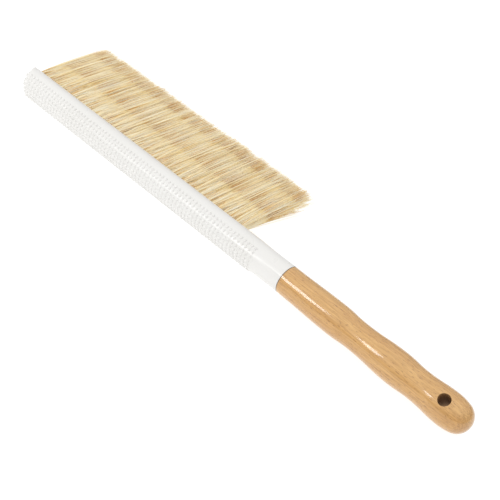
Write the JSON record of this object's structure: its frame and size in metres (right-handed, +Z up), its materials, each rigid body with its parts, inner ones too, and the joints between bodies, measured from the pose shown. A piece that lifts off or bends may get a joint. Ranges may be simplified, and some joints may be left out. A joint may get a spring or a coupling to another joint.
{
  "type": "body brush",
  "caption": "Long body brush: white moulded head with soft bristle tufts on one side and massage nubs on its round back, on a turned wooden handle with a hanging hole.",
  "frame": {"origin": "middle of the hanging hole, on the handle's axis", "axes": "+X along the handle away from the head, +Y the way the bristles point, +Z up with the brush lying on its side"},
  "size_m": [0.447, 0.1002, 0.025],
  "materials": {
    "head_plastic": "glossy white moulded plastic",
    "handle_wood": "varnished beech",
    "bristle": "soft blond bristle",
    "anchor_wire": "drawn flat wire"
  },
  "bodies": {
    "root": {"head": "head_plastic", "handle": "handle_wood", "tufts_upper_row": "bristle", "tufts_middle_row": "bristle", "tufts_lower_row": "bristle", "anchors_upper_row": "anchor_wire", "anchors_middle_row": "anchor_wire", "anchors_lower_row": "anchor_wire"}
  },
  "joints": []
}
